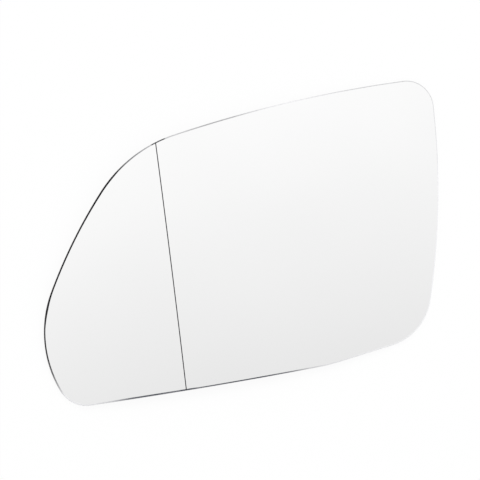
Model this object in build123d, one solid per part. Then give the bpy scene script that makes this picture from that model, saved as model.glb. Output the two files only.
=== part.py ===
from build123d import *
import os
from math import asin, cos, degrees, radians, sin

# Mirror glass of a left door mirror: one sheet of glass, bent to a sphere with an aspheric outer zone, cut
# to its outline and ground along both rims, with a fine line etched in its face where the two zones meet.
# Millimetres. It lies face up on its back rim, with the origin on that level, under the outline's middle:
# +X runs to the inner end, +Y along the etched line to the upper edge, +Z out of the reflecting face.

# Sheet and bend. The outer zone leaves the sphere with its slope and curvature and tightens to the tip.
GLASS_THICKNESS = 2.0
MAIN_RADIUS = 1260.0
TIP_RADIUS = 200.0

# Pole of the bend, in from the etched line and up from the lower outer corner: so the glass rests level.
POLE_IN = 6.8
POLE_UP = 84.2

# Corners of the outline before rounding: out or in from the etched line, up from the lower outer corner.
LOWER_OUTER_OUT = 46.4
SILL_BEND_IN = 60.8
SILL_BEND_UP = 5.7
LOWER_INNER_IN = 102.3
LOWER_INNER_UP = 13.7
UPPER_INNER_IN = 119.3
UPPER_INNER_UP = 119.8
SHOULDER_OUT = 10.7
SHOULDER_UP = 101.4
SLOPE_FOOT_OUT = 49.6
SLOPE_FOOT_UP = 47.6

# Rounding of the corners. The foot of the slope has none: the outer side leaves it as a tangent arc.
LOWER_OUTER_RADIUS = 12.3
SILL_BEND_RADIUS = 90.0
LOWER_INNER_RADIUS = 24.0
UPPER_INNER_RADIUS = 11.0
SHOULDER_RADIUS = 58.5

# Outward bow of the sides, chord to crown. From the sill bend to the lower inner corner it is straight.
SILL_BOW = 0.75
INNER_SIDE_BOW = 4.5
BROW_BOW = 3.7
SLOPE_BOW = 2.6

# Ground rims and the etched line
FRONT_ARRIS = 0.4
BACK_ARRIS = 0.4
LINE_WIDTH = 0.4
LINE_DEPTH = 0.1

# Directions at the etched line, in the section through the pole: along the tangent, and off the face
line_angle = asin(-POLE_IN / MAIN_RADIUS)
outward = Vector(-cos(line_angle), 0, sin(line_angle))
off_face = Vector(sin(line_angle), 0, cos(line_angle))


def rounded_outline():
    """Outline in plan, with the etched line on the Y axis: bowed sides, then one rounding per corner."""
    lower_outer = (-LOWER_OUTER_OUT, 0)
    sill_bend = (SILL_BEND_IN, SILL_BEND_UP)
    lower_inner = (LOWER_INNER_IN, LOWER_INNER_UP)
    upper_inner = (UPPER_INNER_IN, UPPER_INNER_UP)
    shoulder = (-SHOULDER_OUT, SHOULDER_UP)
    slope_foot = (-SLOPE_FOOT_OUT, SLOPE_FOOT_UP)
    slope = SagittaArc(shoulder, slope_foot, -SLOPE_BOW)
    sides = [
        SagittaArc(lower_outer, sill_bend, -SILL_BOW),
        Line(sill_bend, lower_inner),
        SagittaArc(lower_inner, upper_inner, -INNER_SIDE_BOW),
        SagittaArc(upper_inner, shoulder, -BROW_BOW),
        slope,
        TangentArc(slope_foot, lower_outer, tangent=slope % 1),
    ]
    roundings = {
        lower_outer: LOWER_OUTER_RADIUS,
        sill_bend: SILL_BEND_RADIUS,
        lower_inner: LOWER_INNER_RADIUS,
        upper_inner: UPPER_INNER_RADIUS,
        shoulder: SHOULDER_RADIUS,
    }
    outline = make_face(sides)
    for corner, radius in roundings.items():
        outline = fillet(outline.vertices().sort_by_distance(corner)[0], radius)
    return outline


def bend_section(outer_reach, inner_reach):
    """Section of the sheet through the pole, one thickness longer at each end than the glass cut from it.

    The sphere's centre is the origin. From the etched line inwards a face is an arc. Outwards it drops below
    its tangent by a square term, which keeps the sphere's curvature, and a cube term, which brings it to the
    tip's, so that stretch is one cubic curve with its handles a third of the run apart.
    """
    run = outer_reach + GLASS_THICKNESS
    tightening = (1 / TIP_RADIUS - 1 / MAIN_RADIUS) / outer_reach
    square_drop = run**2 / MAIN_RADIUS / 2
    cube_drop = run**3 * tightening / 6
    inner_angle = asin((inner_reach + GLASS_THICKNESS - POLE_IN) / MAIN_RADIUS)

    def face_curves(radius):
        start = off_face * radius
        near_handle = start + outward * run / 3
        far_handle = start + outward * run * 2 / 3 - off_face * square_drop / 3
        outer_end = start + outward * run - off_face * (square_drop + cube_drop)
        inner_end = Vector(sin(inner_angle), 0, cos(inner_angle)) * radius
        zone = Bezier(start, near_handle, far_handle, outer_end)
        return zone, ThreePointArc(start, Vector(0, 0, radius), inner_end)

    front_zone, front_arc = face_curves(MAIN_RADIUS)
    back_zone, back_arc = face_curves(MAIN_RADIUS - GLASS_THICKNESS)
    outer_end = Line(front_zone @ 1, back_zone @ 1)
    inner_end = Line(front_arc @ 1, back_arc @ 1)
    return make_face([front_zone, front_arc, inner_end, back_arc, back_zone, outer_end])


def turned(section, height):
    """Section turned about X through the sphere's centre, past the height, with the crown at the pole."""
    half_turn = degrees(asin((height + POLE_UP) / MAIN_RADIUS))
    solid = revolve(section, Axis.X, 2 * half_turn)
    return Pos(POLE_IN, POLE_UP, -MAIN_RADIUS) * Rot(X=-half_turn) * solid


def rim(solid, direction):
    """Edges where the walls, which stand along the direction, meet the face that looks along it."""
    steep = cos(radians(60))
    wall_edges = solid.faces().filter_by(lambda face: abs(face.normal_at().dot(direction)) < steep).edges()
    face_edges = solid.faces().filter_by(lambda face: face.normal_at().dot(direction) > steep).edges()
    return face_edges.filter_by(lambda edge: edge in wall_edges)


# Bent sheet, cut to the outline
outline = rounded_outline()
plan = outline.bounding_box()
sheet = turned(bend_section(-plan.min.X, plan.max.X), plan.max.Y)
depth = sheet.bounding_box()
cutter = extrude(Pos(0, 0, depth.min.Z - GLASS_THICKNESS) * outline, depth.size.Z + 2 * GLASS_THICKNESS)
glass = sheet & cutter

# Ground rims, then the etched line, which runs out at both of its ends
face_up = Vector(0, 0, 1)
glass = fillet(rim(glass, face_up), FRONT_ARRIS)
glass = fillet(rim(glass, -face_up), BACK_ARRIS)
line_place = Plane(off_face * MAIN_RADIUS, x_dir=outward, z_dir=(0, 1, 0))
line_section = line_place * Rectangle(LINE_WIDTH, 2 * LINE_DEPTH)  # half of it stands clear of the face
glass = glass - turned(line_section, plan.max.Y)

# Set down on the back rim
box = glass.bounding_box()
glass = Pos(-box.center().X, -box.center().Y, -box.min.Z) * glass.solid()

os.makedirs("parts", exist_ok=True)
export_step(glass, "parts/mirror_glass.step", write_pcurves=False)
print(f"size {box.size.X:.2f} x {box.size.Y:.2f} x {box.size.Z:.2f} mm, volume {glass.volume:.0f} mm3")
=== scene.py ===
"""Mirror glass of a left door mirror, dressed and lit on a pale studio floor.

The glass is one closed surface, worked out with numpy from the sizes of the sheet and written over the
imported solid. Lengths are millimetres until a mesh, a lamp or the camera takes them. +X runs to the inner
end, +Y along the etched line to the upper edge, and +Z out of the reflecting face.
"""

import logging
import math
from dataclasses import dataclass, field
from enum import Enum
from typing import Any

import bpy
import numpy as np
from mathutils import Matrix, Vector


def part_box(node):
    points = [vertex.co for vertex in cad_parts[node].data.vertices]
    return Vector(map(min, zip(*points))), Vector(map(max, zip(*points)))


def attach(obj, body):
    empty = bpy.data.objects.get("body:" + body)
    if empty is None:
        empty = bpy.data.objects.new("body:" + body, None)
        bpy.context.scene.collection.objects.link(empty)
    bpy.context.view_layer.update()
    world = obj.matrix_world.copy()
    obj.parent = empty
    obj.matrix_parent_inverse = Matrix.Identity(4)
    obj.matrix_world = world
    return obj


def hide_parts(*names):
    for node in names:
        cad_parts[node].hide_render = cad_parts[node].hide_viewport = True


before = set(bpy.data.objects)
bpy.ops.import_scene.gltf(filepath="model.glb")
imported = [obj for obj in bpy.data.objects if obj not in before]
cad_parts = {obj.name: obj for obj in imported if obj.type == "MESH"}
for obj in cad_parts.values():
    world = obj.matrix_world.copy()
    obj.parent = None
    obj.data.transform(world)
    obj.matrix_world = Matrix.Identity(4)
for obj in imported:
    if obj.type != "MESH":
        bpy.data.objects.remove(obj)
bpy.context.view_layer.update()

log = logging.getLogger("mirror_glass")

Array = np.ndarray
Circle = tuple[Array, float]
Inputs = dict[str | int, Any]

MM = 0.001
IMAGE_SIDE = 480
GLASS_NODE = "mirror_glass"
BODY = "root"
# Overspray thickness along the edge, which is the edge's painted shade and painted dark reflection
COAT_SHADE_ATTRIBUTE = "overspray_and_painted_shade"
# Blue cast of the edge's painted shade along the sill
SHADE_TINT_ATTRIBUTE = "sill_shade_blue"

# Sockets of a Mix node for colours, which are told apart by number because their names repeat
MIX_SHARE = 0
MIX_FIRST = 6
MIX_SECOND = 7
MIX_RESULT = 2


def linear(code: str) -> tuple[float, float, float, float]:
    """Turn an sRGB hex colour into linear light.

    Args:
        code: Colour as "#RRGGBB".

    Returns:
        Red, green and blue in linear light, and an alpha of one.
    """
    shares = np.array([int(code[i : i + 2], 16) for i in (1, 3, 5)]) / 255
    light = np.where(shares <= 0.04045, shares / 12.92, ((shares + 0.055) / 1.055) ** 2.4)
    return (*light.tolist(), 1.0)


def per_metre(size: float) -> float:
    """Scale of a pattern whose features are that many millimetres apart."""
    return 1 / (size * MM)


def connect(node: bpy.types.Node, inputs: Inputs) -> None:
    """Set inputs of a node, or link them where an output socket is given.

    Args:
        node: Node that takes the inputs.
        inputs: Values or output sockets, by the input's name or number.
    """
    for key, value in inputs.items():
        if isinstance(value, bpy.types.NodeSocket):
            node.id_data.links.new(value, node.inputs[key])
        else:
            node.inputs[key].default_value = value


def add_node(tree: bpy.types.NodeTree, kind: str, inputs: Inputs, **settings: Any) -> bpy.types.Node:
    """Add a node with its settings, its input values and its links.

    Args:
        tree: Node tree that takes the node.
        kind: Blender's name for the type of node, without the ShaderNode in front.
        inputs: Values or output sockets, by the input's name or number.
        settings: Properties of the node, by name.

    Returns:
        The new node.
    """
    node = tree.nodes.new("ShaderNode" + kind)
    for name, value in settings.items():
        setattr(node, name, value)
    connect(node, inputs)
    return node


def start_material(name: str) -> tuple[bpy.types.Material, bpy.types.Node, bpy.types.NodeSocket]:
    """Start a material whose patterns follow the place on the glass.

    Args:
        name: Name of the material.

    Returns:
        The material, its shader, and the output socket of the object coordinates.
    """
    material = bpy.data.materials.new(name)
    material.use_nodes = True
    tree = material.node_tree
    place = add_node(tree, "TexCoord", {}).outputs["Object"]
    return material, tree.nodes["Principled BSDF"], place


class Region(Enum):
    """Finished areas of the glass, numbered as the material slots of its mesh."""

    FACE = 0
    LINE = 1
    EDGE = 2
    BACK = 3


@dataclass(frozen=True)
class SilveredFace:
    """Float glass, bent over a mould and silvered: a clean mirror with no colour of its own.

    Attributes:
        name: Name of the material.
        dense, thin: Colour of the film where it is thickest and thinnest.
        film_patch: Size of the patches in which the film's thickness drifts.
        polish, haze: Roughness where the face is cleanest and where the last wipe left a breath of haze.
        wipe_width: Width of a wiping stroke.
        wipe_stretch: Length of a stroke, in widths.
        wave_length: Length of the waves that the bending leaves in the glass.
        wave_height: Height of those waves, far finer than the eye can find in a plain surrounding.
    """

    name: str = "silvered_bent_float_glass"
    dense: str = "#FEFEFE"
    thin: str = "#FAFAFA"
    film_patch: float = 60.0
    polish: float = 0.012
    haze: float = 0.03
    wipe_width: float = 14.0
    wipe_stretch: float = 5.0
    wave_length: float = 40.0
    wave_height: float = 0.0004

    def material(self) -> bpy.types.Material:
        """Build the mirror: film tone, wiping haze and bending waves over a bare metal reflection.

        Returns:
            The material.
        """
        material, shader, place = start_material(self.name)
        tree = material.node_tree
        film = add_node(
            tree, "TexNoise", {"Vector": place, "Scale": per_metre(self.film_patch), "Detail": 1.0}
        )
        tone = add_node(
            tree,
            "Mix",
            {MIX_SHARE: film.outputs["Fac"], MIX_FIRST: linear(self.thin), MIX_SECOND: linear(self.dense)},
            data_type="RGBA",
        )
        strokes = add_node(tree, "Mapping", {"Vector": place, "Scale": (1 / self.wipe_stretch, 1.0, 1.0)})
        wipe = add_node(
            tree,
            "TexNoise",
            {"Vector": strokes.outputs["Vector"], "Scale": per_metre(self.wipe_width), "Detail": 2.0},
        )
        breath = add_node(
            tree, "MapRange", {"Value": wipe.outputs["Fac"], "To Min": self.polish, "To Max": self.haze}
        )
        waves = add_node(
            tree, "TexNoise", {"Vector": place, "Scale": per_metre(self.wave_length), "Detail": 0.0}
        )
        bent = add_node(tree, "Bump", {"Height": waves.outputs["Fac"], "Distance": self.wave_height * MM})
        connect(
            shader,
            {
                "Metallic": 1.0,
                "Base Color": tone.outputs[MIX_RESULT],
                "Roughness": breath.outputs["Result"],
                "Normal": bent.outputs["Normal"],
            },
        )
        return material


@dataclass(frozen=True)
class EtchedLine:
    """Glass etched through the silvering down to the dark backing: a matt, nearly black hairline.

    Attributes:
        name: Name of the material.
        deep, dusty: Colour of the groove's pits and of the frosted glass between them.
        grain: Spacing of the pits, drawn several times coarser than etching leaves them so that they show.
        roughness: Roughness of frosted glass.
        gloss: Specular level, low because the pits swallow the light.
    """

    name: str = "etched_glass_line"
    deep: str = "#1B1B1D"
    dusty: str = "#38383C"
    grain: float = 0.3
    roughness: float = 0.75
    gloss: float = 0.15

    def material(self) -> bpy.types.Material:
        """Build the hairline: a dark matt grain.

        Returns:
            The material.
        """
        material, shader, place = start_material(self.name)
        tree = material.node_tree
        pits = add_node(tree, "TexNoise", {"Vector": place, "Scale": per_metre(self.grain), "Detail": 2.0})
        tone = add_node(
            tree,
            "Mix",
            {MIX_SHARE: pits.outputs["Fac"], MIX_FIRST: linear(self.deep), MIX_SECOND: linear(self.dusty)},
            data_type="RGBA",
        )
        connect(
            shader,
            {
                "Base Color": tone.outputs[MIX_RESULT],
                "Roughness": self.roughness,
                "Specular IOR Level": self.gloss,
            },
        )
        return material


@dataclass(frozen=True)
class GroundEdge:
    """Glass edge ground on a wheel, with the backing paint's overspray on it, whose thickness paints the
    edge's shade.

    Bare ground glass is pale and frosted. Where the overspray is full the edge is nearly black, and the eye
    sees the outline as a fine dark line. This dark line is overspray, painted shade and painted dark
    reflection of the edge.

    Attributes:
        name: Name of the material.
        bare, coated: Colour of frosted glass, and of the overspray, which is also the edge's painted shade.
        tinted_shade: Colour of the overspray's painted shade with a blue cast, along the sill.
        mist: Size of the specks at the fringe of the overspray.
        mist_depth: How far the specks vary its thickness.
        grind_width: Spacing of the wheel's marks, drawn coarser than a real wheel's so that they show.
        grind_length: Length of those marks along the edge.
        grind_height: Depth of the marks.
        roughness: Roughness of a ground edge.
        gloss: Specular level of the edge.
    """

    name: str = "ground_glass_edge"
    bare: str = "#F4F4F6"
    # Colour of the overspray, which is also the edge's painted shade
    coated_shade: str = "#0D0C10"
    tinted_shade: str = "#0F182F"
    mist: float = 0.7
    mist_depth: float = 0.25
    grind_width: float = 0.12
    grind_length: float = 6.0
    grind_height: float = 0.01
    roughness: float = 0.5
    gloss: float = 0.2

    def material(self) -> bpy.types.Material:
        """Build the edge: the coat breaking into mist over frosted glass with marks along the rim.

        Returns:
            The material.
        """
        material, shader, place = start_material(self.name)
        tree = material.node_tree
        # Painted shade along the rim: the overspray's thickness, darkest where the edge is to look shaded
        coat_shade = add_node(tree, "Attribute", {}, attribute_name=COAT_SHADE_ATTRIBUTE)
        shade_tint = add_node(tree, "Attribute", {}, attribute_name=SHADE_TINT_ATTRIBUTE)
        specks = add_node(tree, "TexNoise", {"Vector": place, "Scale": per_metre(self.mist), "Detail": 2.0})
        broken = add_node(
            tree,
            "MapRange",
            {"Value": specks.outputs["Fac"], "To Min": -self.mist_depth / 2, "To Max": self.mist_depth / 2},
            clamp=False,
        )
        misted_shade = add_node(
            tree,
            "Math",
            {0: coat_shade.outputs["Fac"], 1: broken.outputs["Result"]},
            operation="ADD",
            use_clamp=True,
        )
        # Colour of the painted shade, with a blue cast along the sill
        overspray_shade = add_node(
            tree,
            "Mix",
            {
                MIX_SHARE: shade_tint.outputs["Fac"],
                MIX_FIRST: linear(self.coated_shade),
                MIX_SECOND: linear(self.tinted_shade),
            },
            data_type="RGBA",
        )
        tone = add_node(
            tree,
            "Mix",
            {
                MIX_SHARE: misted_shade.outputs["Value"],
                MIX_FIRST: linear(self.bare),
                MIX_SECOND: overspray_shade.outputs[MIX_RESULT],
            },
            data_type="RGBA",
        )
        along = per_metre(self.grind_length)
        wheel = add_node(
            tree, "Mapping", {"Vector": place, "Scale": (along, along, per_metre(self.grind_width))}
        )
        marks = add_node(tree, "TexNoise", {"Vector": wheel.outputs["Vector"], "Scale": 1.0, "Detail": 2.0})
        ground = add_node(tree, "Bump", {"Height": marks.outputs["Fac"], "Distance": self.grind_height * MM})
        connect(
            shader,
            {
                "Base Color": tone.outputs[MIX_RESULT],
                "Roughness": self.roughness,
                "Specular IOR Level": self.gloss,
                "Normal": ground.outputs["Normal"],
            },
        )
        return material


@dataclass(frozen=True)
class BackingPaint:
    """Protective paint sprayed over the silvering: nearly black, satin, with a fine orange peel.

    Attributes:
        name: Name of the material.
        wet, dry: Colour where the paint flowed out and where it landed as mist.
        peel: Spacing of the orange peel.
        peel_height: Height of the orange peel.
        pass_width: Width of a pass of the spray gun.
        pass_stretch: Length over which a pass keeps its tone, in widths.
        satin, matt: Roughness where the paint is thick and where it is thin.
    """

    name: str = "sprayed_backing_paint"
    wet: str = "#17181A"
    dry: str = "#242629"
    peel: float = 1.1
    peel_height: float = 0.02
    pass_width: float = 28.0
    pass_stretch: float = 4.0
    satin: float = 0.38
    matt: float = 0.55

    def material(self) -> bpy.types.Material:
        """Build the paint: broad spray passes in tone and gloss, and an orange peel in relief.

        Returns:
            The material.
        """
        material, shader, place = start_material(self.name)
        tree = material.node_tree
        strokes = add_node(tree, "Mapping", {"Vector": place, "Scale": (1 / self.pass_stretch, 1.0, 1.0)})
        passes = add_node(
            tree,
            "TexNoise",
            {"Vector": strokes.outputs["Vector"], "Scale": per_metre(self.pass_width), "Detail": 3.0},
        )
        tone = add_node(
            tree,
            "Mix",
            {MIX_SHARE: passes.outputs["Fac"], MIX_FIRST: linear(self.wet), MIX_SECOND: linear(self.dry)},
            data_type="RGBA",
        )
        gloss = add_node(
            tree, "MapRange", {"Value": passes.outputs["Fac"], "To Min": self.satin, "To Max": self.matt}
        )
        peel = add_node(tree, "TexNoise", {"Vector": place, "Scale": per_metre(self.peel), "Detail": 1.0})
        relief = add_node(tree, "Bump", {"Height": peel.outputs["Fac"], "Distance": self.peel_height * MM})
        connect(
            shader,
            {
                "Base Color": tone.outputs[MIX_RESULT],
                "Roughness": gloss.outputs["Result"],
                "Normal": relief.outputs["Normal"],
            },
        )
        return material


@dataclass(frozen=True)
class Corner:
    """A corner of the outline before it is rounded, and the side that leaves it anticlockwise.

    Attributes:
        across: Distance in from the etched line, negative towards the outer tip.
        up: Height above the lower outer corner.
        rounding: Radius of the corner, or zero where the next side leaves as a tangent.
        bow: Outward bow of the side, chord to crown, or zero for a straight side.
    """

    across: float
    up: float
    rounding: float
    bow: float

    def point(self) -> Array:
        """Place of the corner in plan."""
        return np.array([self.across, self.up])


@dataclass(frozen=True)
class Outline:
    """Outline of the glass in plan: bowed sides joined by roundings, a closed chain of tangent arcs.

    Attributes:
        outer_foot: Foot of the slope, where the outer side starts as a tangent of the slope.
        lower_outer, sill_bend, lower_inner, upper_inner, shoulder: The other corners, anticlockwise.
        hair: Bow that stands for straight: it leaves a straight side an arc, and no eye can find it.
    """

    outer_foot: Corner = Corner(-49.6, 47.6, 0.0, 0.0)
    lower_outer: Corner = Corner(-46.4, 0.0, 12.3, 0.75)
    sill_bend: Corner = Corner(60.8, 5.7, 90.0, 0.0)
    lower_inner: Corner = Corner(102.3, 13.7, 24.0, 4.5)
    upper_inner: Corner = Corner(119.3, 119.8, 11.0, 3.7)
    shoulder: Corner = Corner(-10.7, 101.4, 58.5, 2.6)
    hair: float = 0.001

    def side(self, start: Corner, end: Corner) -> Circle:
        """Circle of a bowed side.

        Its radius is an eighth of the chord squared over the bow, plus half the bow.

        Args:
            start: Corner that the side leaves.
            end: Corner that it reaches, anticlockwise.

        Returns:
            Centre and radius of the circle.
        """
        chord = end.point() - start.point()
        length = np.hypot(*chord)
        bow = start.bow or self.hair
        radius = length**2 / 8 / bow + bow / 2
        inward = np.array([-chord[1], chord[0]]) / length
        return (start.point() + end.point()) / 2 + inward * (radius - bow), radius

    def outer_side(self, slope_centre: Array) -> Circle:
        """Circle of the outer side, which leaves the slope as a tangent and reaches the lower outer corner.

        Its centre is on the slope's own normal at the foot, as far in as the chord squared over twice the
        chord's run along that normal.

        Args:
            slope_centre: Centre of the slope's circle.

        Returns:
            Centre and radius of the circle.
        """
        foot = self.outer_foot.point()
        inward = (slope_centre - foot) / np.hypot(*(slope_centre - foot))
        chord = self.lower_outer.point() - foot
        radius = chord @ chord / (2 * chord @ inward)
        return foot + inward * radius, radius

    def rounded(self, before: Circle, corner: Corner, after: Circle) -> Array:
        """Centre of a corner's rounding: the point near the corner that is one rounding in from both sides.

        Args:
            before: Circle of the side that reaches the corner.
            corner: The corner.
            after: Circle of the side that leaves it.

        Returns:
            Centre of the rounding.
        """
        (first, reach), (second, other_reach) = sorted((before, after), key=lambda circle: circle[1])
        reach -= corner.rounding
        other_reach -= corner.rounding
        gap = second - first
        span = np.hypot(*gap)
        along = (reach**2 - other_reach**2 + span**2) / (2 * span)
        aside = math.sqrt(reach**2 - along**2)
        foot = first + gap * along / span
        step = np.array([-gap[1], gap[0]]) * aside / span
        return min((foot + step, foot - step), key=lambda centre: np.hypot(*(centre - corner.point())))

    def circles(self) -> tuple[Array, Array]:
        """Circles of the whole chain, anticlockwise from the outer side.

        Returns:
            Centres and radii, side and rounding by turns.
        """
        corners = [self.lower_outer, self.sill_bend, self.lower_inner, self.upper_inner, self.shoulder]
        ends = corners[1:] + [self.outer_foot]
        sides = [self.side(start, end) for start, end in zip(corners, ends)]
        chain = [self.outer_side(sides[-1][0])]
        for before, corner, after in zip([chain[0]] + sides, corners, sides):
            chain.append((self.rounded(before, corner, after), corner.rounding))
            chain.append(after)
        return np.array([centre for centre, _ in chain]), np.array([radius for _, radius in chain])


@dataclass
class Rim:
    """Run along the outline, in millimetres anticlockwise from the outer tip.

    The outward direction turns steadily along each arc, from half a turn at the tip to one and a half turns
    when the run is back there. Two arcs meet where their centres are in line with the outward direction.

    Attributes:
        outline: Outline that the run follows.
        turns, starts: Turn and run at which each arc starts, and the last one ends.
        centres, radii: Circle of each arc.
        length: Length of the whole run.
        inner_end: Run at the inner end.
    """

    outline: Outline = field(default_factory=Outline)
    turns: Array = field(init=False)
    starts: Array = field(init=False)
    centres: Array = field(init=False)
    radii: Array = field(init=False)
    length: float = field(init=False)
    inner_end: float = field(init=False)

    def __post_init__(self) -> None:
        """Work out where each arc starts, as a turn and as a run."""
        centres, radii = self.outline.circles()
        towards = (np.roll(centres, -1, axis=0) - centres) * np.sign(radii - np.roll(radii, -1))[:, None]
        joints = np.unwrap(np.arctan2(towards[:, 1], towards[:, 0]))
        joints += 2 * np.pi * np.ceil((np.pi - joints[0]) / (2 * np.pi))
        self.turns = np.concatenate([[np.pi], joints, [3 * np.pi]])
        self.centres = np.concatenate([centres, centres[:1]])
        self.radii = np.concatenate([radii, radii[:1]])
        self.starts = np.concatenate([[0.0], np.cumsum(self.radii * np.diff(self.turns))])
        self.length = float(self.starts[-1])
        self.inner_end = float(np.interp(2 * np.pi, self.turns, self.starts))

    def at(self, run: Array) -> tuple[Array, Array]:
        """Plan points and outward directions: an arc's centre plus its radius along the outward direction.

        Args:
            run: Runs along the outline.

        Returns:
            Points and unit outward directions, one row for each run.
        """
        arc = np.clip(np.searchsorted(self.starts, run, side="right") - 1, 0, len(self.radii) - 1)
        turn = self.turns[arc] + (run - self.starts[arc]) / self.radii[arc]
        outward = np.stack([np.cos(turn), np.sin(turn)], axis=-1)
        return self.centres[arc] + self.radii[arc][:, None] * outward, outward

    def box(self) -> tuple[Array, Array]:
        """Box of the outline in plan, from the points where the outward direction is along an axis.

        Returns:
            Lowest and highest corner.
        """
        quarters = np.interp(np.pi * np.array([1.0, 1.5, 2.0, 2.5]), self.turns, self.starts)
        points, _ = self.at(quarters)
        return points.min(axis=0), points.max(axis=0)


@dataclass(frozen=True)
class Bend:
    """Bend of the sheet: a sphere whose outer zone tightens evenly from the etched line to the tip.

    Attributes:
        reach: Distance from the etched line to the outer tip.
        main_radius, tip_radius: Radius of the sphere, and of the outer zone at the tip.
        pole_in, pole_up: Pole of the bend, in from the etched line and up from the lower outer corner.
        rounds: Rounds in which the distance along the outer zone's tangent closes in on its value.
        probe: Step to each side over which the fall of a face is measured.
    """

    reach: float
    main_radius: float = 1260.0
    tip_radius: float = 200.0
    pole_in: float = 6.8
    pole_up: float = 84.2
    rounds: int = 4
    probe: float = 0.05

    def height(self, plan: Array, depth: float) -> Array:
        """Height of a face of the sheet over the crown of the front.

        The section through the pole is turned about an axis along X through the sphere's centre. Inside the
        etched line the section is an arc. Outside, at a distance u along the tangent there, it drops below
        the tangent by u squared over twice the main radius, plus a sixth of u cubed times the rate at which
        the curvature tightens.

        Args:
            plan: Plan points, with X and Y in the last axis.
            depth: Depth of the face below the front, square to the sheet.

        Returns:
            Heights, zero at the pole of the front.
        """
        radius = self.main_radius - depth
        across = plan[..., 0] - self.pole_in
        lean = math.asin(-self.pole_in / self.main_radius)
        tightening = (1 / self.tip_radius - 1 / self.main_radius) / self.reach
        run = np.zeros_like(across)
        drop = np.zeros_like(across)
        for _ in range(self.rounds):
            run = (radius - drop) * math.tan(lean) - across / math.cos(lean)
            drop = run**2 / 2 / self.main_radius + run**3 * tightening / 6
        zone = (radius - drop) * math.cos(lean) + run * math.sin(lean)
        arc = np.sqrt(radius**2 - across**2)
        section = np.where(run > 0, zone, arc)
        return np.sqrt(section**2 - (plan[..., 1] - self.pole_up) ** 2) - self.main_radius

    def fall(self, plan: Array, outward: Array, depth: float) -> Array:
        """Angle by which a face falls away along the outward direction, from a small step each way.

        Args:
            plan: Plan points.
            outward: Unit directions in plan, one for each point.
            depth: Depth of the face below the front.

        Returns:
            Angles in radians.
        """
        step = self.probe * outward
        drop = self.height(plan - step, depth) - self.height(plan + step, depth)
        return np.arctan(drop / (2 * self.probe))


@dataclass(frozen=True)
class CoatAndShade:
    """Overspray of the backing paint along the edge, whose thickness is also the edge's painted shade and
    painted dark reflection.

    The painted shade is full from the shoulder down the slope and along the outer side, and thins to nothing
    at the lower outer corner. It comes back along the sill with a blue cast, and fades before the lower
    inner corner. Up the inner side the edge is bare, and over the brow a mist comes back. It laps over the
    face by a hair in places. A darker dash on the front arris closes each end of the etched line.

    Attributes:
        stations: Run along the rim from the outer tip, the overspray's thickness there as a share of what
            hides the glass, which is the edge's painted shade, and how far it laps over the face.
        dashes: Runs between which a darker dash on the front arris closes an end of the etched line.
        touch: Thickness given to that dash.
        shade_tints: Run along the rim, and how far the painted shade takes a blue cast there.
        hair: Least lap, so that no two points of the mesh fall together.
    """

    # Painted shade of the edge: full on the outer side and the slope, bare on the inner side
    stations: tuple[tuple[float, float, float], ...] = (
        # Outer side and lower outer corner
        (0.0, 1.12, 0.00),
        (12.0, 0.88, 0.00),
        (18.0, 0.46, 0.00),
        (22.5, 0.00, 0.00),
        (28.0, 0.00, 0.00),
        # Sill
        (34.0, 0.09, 0.05),
        (42.0, 0.27, 0.10),
        (50.0, 0.83, 0.16),
        (60.0, 0.90, 0.17),
        (66.0, 0.82, 0.15),
        (77.0, 0.82, 0.12),
        (78.0, 0.82, 0.03),
        (105.0, 0.94, 0.00),
        (117.0, 0.76, 0.00),
        (125.0, 0.32, 0.00),
        (132.0, 0.14, 0.00),
        # Lower inner corner and inner side
        (158.0, 0.02, 0.00),
        (240.0, 0.00, 0.00),
        # Upper inner corner and brow
        (246.0, 0.12, 0.00),
        (264.0, 0.21, 0.00),
        (280.0, 0.34, 0.00),
        (308.0, 0.34, 0.00),
        (336.0, 0.13, 0.00),
        (346.0, 0.14, 0.05),
        (364.0, 0.49, 0.16),
        (374.0, 0.54, 0.16),
        (388.0, 0.35, 0.16),
        (399.5, 0.48, 0.12),
        # Shoulder and slope, back to the outer tip
        (417.0, 0.95, 0.23),
        (421.0, 1.15, 0.33),
        (428.0, 1.15, 0.29),
        (446.0, 1.15, 0.19),
        (472.0, 1.15, 0.18),
        (481.0, 1.15, 0.33),
        (490.0, 1.12, 0.00),
    )
    dashes: tuple[tuple[float, float], ...] = ((71.0, 77.0), (392.6, 399.0))
    touch: float = 0.90
    shade_tints: tuple[tuple[float, float], ...] = ((34.0, 0.0), (44.0, 1.0), (120.0, 1.0), (128.0, 0.0))
    hair: float = 0.02

    def thickness(self, run: Array) -> Array:
        """Thickness of the overspray, which is the edge's painted shade, straight between the stations, as a
        share of what hides the glass.
        """
        runs, shares, _ = np.array(self.stations).T
        return np.interp(run, runs, shares)

    def dashed(self, run: Array) -> Array:
        """Thickness on the front arris: at least the dash's, where a darker dash closes the etched line."""
        closing = [(run > start) & (run < end) for start, end in self.dashes]
        return np.maximum(self.thickness(run), self.touch * np.any(closing, axis=0))

    def lap(self, run: Array) -> Array:
        """How far the coat laps over the face, straight between the stations."""
        runs, _, widths = np.array(self.stations).T
        return np.maximum(np.interp(run, runs, widths), self.hair)

    def shade_tint(self, run: Array) -> Array:
        """How far the painted shade takes a blue cast, straight between the stations."""
        runs, shares = np.array(self.shade_tints).T
        return np.interp(run, runs, shares)


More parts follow.
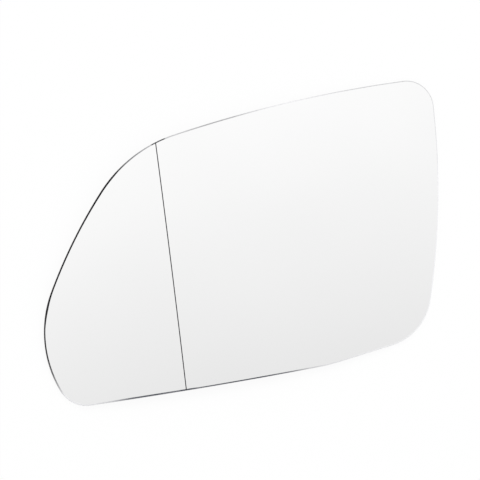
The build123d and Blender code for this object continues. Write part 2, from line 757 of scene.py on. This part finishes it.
@dataclass
class MirrorGlass:
    """The glass: a bent sheet cut to its outline, ground along both rims, with a line etched in its face.

    Its mesh has columns across the glass, from a single point at the outer tip to one at the inner end. The
    loop once round the rim meets each column twice, and the profile of the edge is a stack of such loops.

    Attributes:
        name: Name of the piece.
        rim: Run along the outline.
        coat_shade: Overspray along the edge, and the painted shade that its thickness sets.
        thickness: Thickness of the sheet.
        front_arris, back_arris: Radius to which each rim is ground.
        line_width, line_depth: Section of the etched line.
        line_draft: How far the line's walls lean, so that no two points of the mesh fall together.
        outer_columns, inner_columns: Columns of the mesh outside and inside the etched line.
        front_rows, back_rows: Rows of the mesh across each face.
        arris_steps, wall_steps: Steps of the mesh round each arris and down the wall.
        rim_samples: Samples along a side of the rim, between which the ends of the etched line are placed.
        sharp_angle: Angle in degrees from which on an edge of the mesh is shaded sharp.
        lowest, highest: Box of the outline in plan.
        bend: Bend of the sheet.
        line_stations, line_depths: Section of the etched line at its columns, across and down.
        columns: Columns of the mesh in all.
        loop: Runs once round the rim, one for each point of the loop.
    """

    name: str = "mirror_glass_silvered"
    rim: Rim = field(default_factory=Rim)
    coat_shade: CoatAndShade = field(default_factory=CoatAndShade)
    thickness: float = 2.0
    front_arris: float = 0.4
    back_arris: float = 0.4
    line_width: float = 0.4
    line_depth: float = 0.1
    line_draft: float = 0.03
    outer_columns: int = 150
    inner_columns: int = 260
    front_rows: int = 61
    back_rows: int = 25
    arris_steps: int = 8
    wall_steps: int = 3
    rim_samples: int = 20001
    sharp_angle: float = 35.0
    lowest: Array = field(init=False)
    highest: Array = field(init=False)
    bend: Bend = field(init=False)
    line_stations: Array = field(init=False)
    line_depths: Array = field(init=False)
    columns: int = field(init=False)
    loop: Array = field(init=False)

    def __post_init__(self) -> None:
        """Take the bend's reach from the outline, and the loop of points that the mesh's rim follows."""
        self.lowest, self.highest = self.rim.box()
        self.bend = Bend(reach=-self.lowest[0])
        half = self.line_width / 2
        foot = half - self.line_draft
        self.line_stations = np.array([-half, -foot, 0.0, foot, half])
        self.line_depths = np.array([0.0, self.line_depth, self.line_depth, self.line_depth, 0.0])
        self.columns = self.outer_columns + len(self.line_stations) + self.inner_columns
        self.loop = self.rim_loop()

    @property
    def front_rings(self) -> int:
        """Rings at the front of the profile: the one where the coat's lap ends, and the arris's own."""
        return self.arris_steps + 2

    def face_edge(self, run: Array) -> Array:
        """Points where the bare face ends: in from the outline by the arris and the coat's lap.

        Args:
            run: Runs along the rim.

        Returns:
            Plan points, one row for each run.
        """
        points, outward = self.rim.at(run)
        arris = self.front_arris * (1 - np.sin(self.bend.fall(points, outward, 0.0)))
        inset = arris + self.coat_shade.lap(run)
        return points - inset[:, None] * outward

    def chain(self, start: float, end: float) -> Array:
        """Runs of the mesh's columns along one side of the rim, from the outer tip to the inner end.

        The columns at the etched line are where the face's edge meets the line's walls, and the others are
        evenly spaced between them and the two ends.

        Args:
            start: Run at the outer tip.
            end: Run at the inner end.

        Returns:
            One run for each column.
        """
        fine = np.linspace(start, end, self.rim_samples)
        line = np.interp(self.line_stations, self.face_edge(fine)[:, 0], fine)
        outer = np.linspace(start, line[0], self.outer_columns + 1)
        inner = np.linspace(line[-1], end, self.inner_columns + 1)
        return np.concatenate([outer[:-1], line, inner[1:]])

    def rim_loop(self) -> Array:
        """Runs once round the rim: the lower chain to the inner end, then the upper chain back to the tip.

        Returns:
            One run for each point of the loop.
        """
        lower = self.chain(0.0, self.rim.inner_end)
        upper = self.chain(self.rim.length, self.rim.inner_end)
        return np.concatenate([lower, upper[-2:0:-1]])

    def groove(self) -> Array:
        """Depth of the etched line along the loop, zero away from the line.

        Returns:
            One depth for each point of the loop.
        """
        depth = np.zeros(self.columns)
        depth[self.outer_columns : self.outer_columns + len(self.line_depths)] = self.line_depths
        return np.concatenate([depth, depth[-2:0:-1]])

    def rings(self) -> Array:
        """Profile of the edge, carried along the rim.

        It starts on the face, where the coat's lap ends. A ball of the arris's radius touches the wall and
        the face, which falls outwards by some angle. Its centre is one radius in from the wall, and below
        the face's height at the wall by the radius over the angle's cosine less the radius times its
        tangent. The front arris is the arc of that ball from the face's normal to the horizontal. The wall
        runs straight down, and the back arris is built in the same way from below, with the angle adding to
        the quarter turn. Where the etched line runs out over the edge, no point is higher than its floor.

        Returns:
            Points by step of the profile, from the front face to the back, and by place along the loop.
        """
        points, outward = self.rim.at(self.loop)
        front_fall = self.bend.fall(points, outward, 0.0)
        back_fall = self.bend.fall(points, outward, self.thickness)
        front_ball = self.front_arris * (np.tan(front_fall) - 1 / np.cos(front_fall))
        back_ball = self.back_arris * (np.tan(back_fall) + 1 / np.cos(back_fall))
        wall_top = self.bend.height(points, 0.0) + front_ball
        wall_foot = self.bend.height(points, self.thickness) + back_ball

        share = np.linspace(0, 1, self.arris_steps + 1)[:, None]
        front_turn = front_fall + (np.pi / 2 - front_fall) * share
        back_turn = (np.pi / 2 + back_fall) * share
        down = np.linspace(0, 1, self.wall_steps + 1)[1:-1, None]
        inset = np.concatenate(
            [
                self.front_arris * (1 - np.sin(front_turn)),
                np.zeros((len(down), len(points))),
                self.back_arris * (1 - np.cos(back_turn)),
            ]
        )
        height = np.concatenate(
            [
                wall_top + self.front_arris * np.cos(front_turn),
                wall_top + (wall_foot - wall_top) * down,
                wall_foot - self.back_arris * np.sin(back_turn),
            ]
        )
        lapped = self.face_edge(self.loop)
        plan = np.concatenate([lapped[None], points - inset[..., None] * outward])
        height = np.concatenate([self.bend.height(lapped, 0.0)[None], height])
        height = np.minimum(height, self.bend.height(plan, 0.0) - self.groove())
        return np.concatenate([plan, height[..., None]], axis=-1)

    def web(self, edge: Array, rows: int, depth: float, groove: Array) -> Array:
        """Points of a face between its edges: straight columns in plan from the lower chain to the upper.

        Args:
            edge: Points of the face's edge along the loop.
            rows: Rows across the face, with its edges.
            depth: Depth of the face below the front.
            groove: Depth cut into the face at each column.

        Returns:
            Points by column and row, without the edges and the two ends.
        """
        lower = edge[1 : self.columns - 1, None, :2]
        upper = edge[: self.columns - 1 : -1, None, :2]
        share = np.linspace(0, 1, rows)[None, 1:-1, None]
        plan = lower + (upper - lower) * share
        height = self.bend.height(plan, depth) - groove[:, None]
        return np.concatenate([plan, height[..., None]], axis=-1)

    def face_grid(self, ring_start: int, web_start: int, rows: int) -> Array:
        """Numbers of a face's points by column and row, with a single point along each end column.

        Args:
            ring_start: Number of the first point of the ring that is the face's edge.
            web_start: Number of the first point between the edges.
            rows: Rows across the face, with its edges.

        Returns:
            Point numbers.
        """
        last = self.columns - 1
        grid = np.empty((self.columns, rows), dtype=np.int64)
        grid[0] = ring_start
        grid[last] = ring_start + last
        grid[1:last, 0] = ring_start + np.arange(1, last)
        grid[1:last, -1] = ring_start + np.arange(2 * last - 1, last, -1)
        grid[1:last, 1:-1] = web_start + np.arange((last - 1) * (rows - 2)).reshape(last - 1, rows - 2)
        return grid

    def face_polygons(self, grid: Array, upward: bool) -> tuple[list[list[int]], Array]:
        """Polygons of a face: quads between its columns, and triangles at the two ends.

        Args:
            grid: Point numbers by column and row.
            upward: Whether the face looks up.

        Returns:
            Polygons, and the column that each starts from.
        """
        here, there = grid[1:-2], grid[2:-1]
        quads = np.stack([here[:, :-1], there[:, :-1], there[:, 1:], here[:, 1:]], axis=-1).reshape(-1, 4)
        first = np.stack([grid[0, :-1], grid[1, :-1], grid[1, 1:]], axis=-1)
        final = np.stack([grid[-2, :-1], grid[-1, :-1], grid[-2, 1:]], axis=-1)
        ends = np.concatenate([first, final])
        if not upward:
            quads = quads[:, ::-1]
            ends = ends[:, ::-1]
        starts = np.concatenate([np.arange(1, self.columns - 2), [0, self.columns - 2]])
        return quads.tolist() + ends.tolist(), np.repeat(starts, grid.shape[1] - 1)

    def in_line(self, column: Array) -> Array:
        """Whether the strip that starts from a column is inside the etched line."""
        first = self.outer_columns
        return (column >= first) & (column < first + len(self.line_stations) - 1)

    def polygons(self, steps: int) -> tuple[list[list[int]], Array]:
        """Polygons of the closed surface: the two faces, and quads between the rings of the edge.

        Args:
            steps: Rings in the profile of the edge.

        Returns:
            Polygons, and the number of the region that each belongs to.
        """
        around = len(self.loop)
        last = self.columns - 1
        front_start = steps * around
        back_start = front_start + (last - 1) * (self.front_rows - 2)
        front_grid = self.face_grid(0, front_start, self.front_rows)
        back_grid = self.face_grid((steps - 1) * around, back_start, self.back_rows)
        front, front_columns = self.face_polygons(front_grid, upward=True)
        back, back_columns = self.face_polygons(back_grid, upward=False)

        ring = np.arange(steps * around).reshape(steps, around)
        onward = np.roll(ring, -1, axis=1)
        edge = np.stack([ring[:-1], ring[1:], onward[1:], onward[:-1]], axis=-1)
        place = np.arange(around)
        line_end = np.zeros((steps - 1, around), dtype=bool)
        line_end[: self.front_rings - 1] = self.in_line(np.where(place < last, place, 2 * last - 1 - place))

        regions = np.concatenate(
            [
                np.where(self.in_line(front_columns), Region.LINE.value, Region.FACE.value),
                np.full(len(back_columns), Region.BACK.value),
                np.where(line_end, Region.LINE.value, Region.EDGE.value).ravel(),
            ]
        )
        return front + back + edge.reshape(-1, 4).tolist(), regions

    def tones(self, steps: int) -> dict[str, Array]:
        """Overspray thickness of the edge, which is its painted shade, and the blue cast of that painted
        shade, the same down its profile but for the darker dashes at the front.

        Args:
            steps: Rings in the profile of the edge.

        Returns:
            Values by ring and by place along the loop, under the name of their attribute.
        """
        # Painted shade of the edge, as overspray thickness by ring
        coat_shade = np.tile(self.coat_shade.thickness(self.loop), (steps, 1))
        coat_shade[: self.front_rings] = self.coat_shade.dashed(self.loop)
        return {COAT_SHADE_ATTRIBUTE: coat_shade, SHADE_TINT_ATTRIBUTE: np.tile(self.coat_shade.shade_tint(self.loop), (steps, 1))}

    def build(self) -> bpy.types.Object:
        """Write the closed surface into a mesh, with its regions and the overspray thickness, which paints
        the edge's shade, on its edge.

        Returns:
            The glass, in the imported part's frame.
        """
        rings = self.rings()
        groove = self.groove()[1 : self.columns - 1]
        front = self.web(rings[0], self.front_rows, 0.0, groove)
        back = self.web(rings[-1], self.back_rows, self.thickness, np.zeros_like(groove))
        points = np.concatenate([part.reshape(-1, 3) for part in (rings, front, back)])
        points -= np.array([*(self.lowest + self.highest) / 2, points[:, 2].min()])
        polygons, regions = self.polygons(len(rings))

        mesh = bpy.data.meshes.new(self.name)
        mesh.from_pydata((points * MM).tolist(), [], polygons)
        mesh.polygons.foreach_set("material_index", regions.astype(np.int32))
        mesh.shade_smooth()
        mesh.set_sharp_from_angle(angle=math.radians(self.sharp_angle))
        for name, tones in self.tones(len(rings)).items():
            values = np.zeros(len(points), dtype=np.float32)
            values[: tones.size] = tones.ravel()
            mesh.attributes.new(name, "FLOAT", "POINT").data.foreach_set("value", values)
        mesh.update()

        glass = bpy.data.objects.new(self.name, mesh)
        bpy.context.scene.collection.objects.link(glass)
        return glass

    def dress(self, glass: bpy.types.Object) -> None:
        """Give each region of the glass its finish, in the order of the regions' numbers.

        Args:
            glass: The built glass.
        """
        finishes = {
            Region.FACE: SilveredFace(),
            Region.LINE: EtchedLine(),
            Region.EDGE: GroundEdge(),
            Region.BACK: BackingPaint(),
        }
        for region in Region:
            glass.data.materials.append(finishes[region].material())


@dataclass(frozen=True)
class Studio:
    """Plain studio: a white floor, a soft lamp beyond the upper edge, and a pale surround.

    Attributes:
        floor_side: Side of the floor.
        floor_colour: Colour of the floor.
        floor_glow: Share of the floor that is plain white to the eye, which leaves the rest for the shadow.
        lamp_place: Middle of the lamp.
        lamp_side: Side of the lamp.
        lamp_power: Power of the lamp in watts.
        tilt: Direction in plan in which the surround gets lighter.
        surround: Light from the surround, by the share of its direction that lies along the tilt.
        walls: Light of the walls at the horizon, as a share of the ceiling's.
        ceiling: Height of the direction, as a share of its length, above which the light is the ceiling's.
    """

    floor_side: float = 6000.0
    floor_colour: str = "#FAFAFA"
    floor_glow: float = 0.92
    lamp_place: tuple[float, float, float] = (350.0, 1100.0, 1500.0)
    lamp_side: float = 900.0
    lamp_power: float = 8.0
    tilt: tuple[float, float] = (-0.117, 0.993)
    surround: tuple[tuple[float, float], ...] = (
        (-1.0, 1.0),
        (-0.5, 0.9),
        (-0.3, 0.72),
        (-0.2, 0.73),
        (-0.1, 0.797),
        (0.0, 0.877),
        (0.1, 0.957),
        (0.2, 1.015),
        (0.5, 1.0),
        (1.0, 0.8),
    )
    walls: float = 0.8
    ceiling: float = 0.75

    def paper(self) -> bpy.types.Material:
        """Make the floor's paper: matt, white to the eye and in reflections, and able to keep a shadow.

        Returns:
            The material.
        """
        material = bpy.data.materials.new("matt_white_paper")
        material.use_nodes = True
        tree = material.node_tree
        tree.nodes.remove(tree.nodes["Principled BSDF"])
        path = add_node(tree, "LightPath", {})
        looked_at = add_node(
            tree,
            "Math",
            {0: path.outputs["Is Camera Ray"], 1: path.outputs["Is Glossy Ray"]},
            operation="ADD",
        )
        seen = add_node(
            tree,
            "Math",
            {0: looked_at.outputs["Value"], 1: path.outputs["Is Transmission Ray"]},
            operation="ADD",
            use_clamp=True,
        )
        share = add_node(tree, "Math", {0: seen.outputs["Value"], 1: self.floor_glow}, operation="MULTIPLY")
        lit = add_node(tree, "BsdfDiffuse", {"Color": linear(self.floor_colour)})
        white = add_node(tree, "Emission", {"Strength": 1.0})
        mixed = add_node(
            tree,
            "MixShader",
            {0: share.outputs["Value"], 1: lit.outputs["BSDF"], 2: white.outputs["Emission"]},
        )
        connect(tree.nodes["Material Output"], {"Surface": mixed.outputs["Shader"]})
        return material

    def floor(self) -> bpy.types.Object:
        """Lay the floor, one square under the glass.

        Returns:
            The floor.
        """
        reach = self.floor_side / 2 * MM
        corners = [(-reach, -reach, 0.0), (reach, -reach, 0.0), (reach, reach, 0.0), (-reach, reach, 0.0)]
        mesh = bpy.data.meshes.new("studio_floor")
        mesh.from_pydata(corners, [], [(0, 1, 2, 3)])
        mesh.materials.append(self.paper())
        floor = bpy.data.objects.new("studio_floor", mesh)
        bpy.context.scene.collection.objects.link(floor)
        return floor

    def lamp(self) -> bpy.types.Object:
        """Hang the lamp: a square panel that faces the glass and stays out of its reflection.

        Returns:
            The lamp.
        """
        data = bpy.data.lights.new("soft_panel", "AREA")
        data.size = self.lamp_side * MM
        data.energy = self.lamp_power
        lamp = bpy.data.objects.new("soft_panel", data)
        lamp.location = Vector(self.lamp_place) * MM
        lamp.rotation_euler = (-lamp.location).to_track_quat("-Z", "Y").to_euler()
        lamp.visible_glossy = False
        bpy.context.scene.collection.objects.link(lamp)
        return lamp

    def world(self) -> bpy.types.World:
        """Close the studio with a pale surround that gets lighter along the tilt.

        Its walls are a little darker than its ceiling.

        Returns:
            The scene's world.
        """
        world = bpy.data.worlds.new("pale_surround")
        world.use_nodes = True
        tree = world.node_tree
        towards = add_node(tree, "TexCoord", {}).outputs["Generated"]
        along = add_node(tree, "VectorMath", {0: towards, 1: (*self.tilt, 0.0)}, operation="DOT_PRODUCT")
        share = add_node(
            tree, "MapRange", {"Value": along.outputs["Value"], "From Min": -1.0, "From Max": 1.0}
        )
        ramp = add_node(tree, "ValToRGB", {"Fac": share.outputs["Result"]})
        stops = ramp.color_ramp.elements
        for number, (place, light) in enumerate(self.surround):
            stop = stops[number] if number < len(stops) else stops.new(1.0)
            stop.position = (place + 1) / 2
            stop.color = (light, light, light, 1.0)
        height = add_node(tree, "SeparateXYZ", {0: towards}).outputs["Z"]
        level = add_node(
            tree,
            "MapRange",
            {"Value": height, "From Max": self.ceiling, "To Min": self.walls, "To Max": 1.0},
        )
        connect(
            tree.nodes["Background"], {"Color": ramp.outputs["Color"], "Strength": level.outputs["Result"]}
        )
        bpy.context.scene.world = world
        return world


@dataclass(frozen=True)
class PhotoCamera:
    """Camera at the photograph's viewing angle, nearly square to the face.

    Attributes:
        towards_tip, towards_sill: Lean of the view from the vertical, in degrees.
        roll: Turn of the picture about the view, in degrees.
        distance: Distance from the part's origin.
        pixels_per_mm: Scale of the picture at the origin.
        origin_pixel: Place of the origin in the picture.
        sensor: Width of the sensor.
    """

    towards_tip: float = 12.0
    towards_sill: float = 7.0
    roll: float = 7.497
    distance: float = 1800.0
    pixels_per_mm: float = 2.4481
    origin_pixel: tuple[float, float] = (243.29, 242.40)
    sensor: float = 36.0

    def place(self) -> bpy.types.Object:
        """Set up the camera and make it the scene's own.

        Returns:
            The camera.
        """
        yaw = math.radians(self.towards_tip)
        pitch = math.radians(self.towards_sill)
        back = Vector(
            (-math.sin(yaw) * math.cos(pitch), -math.sin(pitch), math.cos(yaw) * math.cos(pitch))
        )
        level = Vector((0.0, 1.0, 0.0)).cross(back).normalized()
        right = Matrix.Rotation(math.radians(-self.roll), 3, back) @ level
        up = back.cross(right)
        across = (self.origin_pixel[0] - IMAGE_SIDE / 2) / self.pixels_per_mm
        down = (self.origin_pixel[1] - IMAGE_SIDE / 2) / self.pixels_per_mm

        data = bpy.data.cameras.new("photo_camera")
        data.sensor_width = self.sensor
        data.lens = self.pixels_per_mm * self.distance * self.sensor / IMAGE_SIDE
        camera = bpy.data.objects.new("photo_camera", data)
        place = (back * self.distance - right * across + up * down) * MM
        camera.matrix_world = Matrix.Translation(place) @ Matrix((right, up, back)).transposed().to_4x4()
        bpy.context.scene.collection.objects.link(camera)
        bpy.context.scene.camera = camera
        return camera


def main() -> None:
    """Build the glass over its node, then the studio and the camera, and report each."""
    logging.basicConfig(level=logging.INFO, format="%(name)s: %(message)s")
    bpy.context.scene.view_settings.view_transform = "Standard"

    maker = MirrorGlass()
    glass = maker.build()
    maker.dress(glass)
    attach(glass, BODY)
    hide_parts(GLASS_NODE)
    low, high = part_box(GLASS_NODE)
    count = len(glass.data.polygons)
    log.info("%s has %d polygons, in a packed box of %s", glass.name, count, (high - low) / MM)

    studio = Studio()
    for piece in (studio.floor(), studio.lamp(), studio.world(), PhotoCamera().place()):
        log.info("%s is in place", piece.name)


if __name__ == "__main__":
    main()
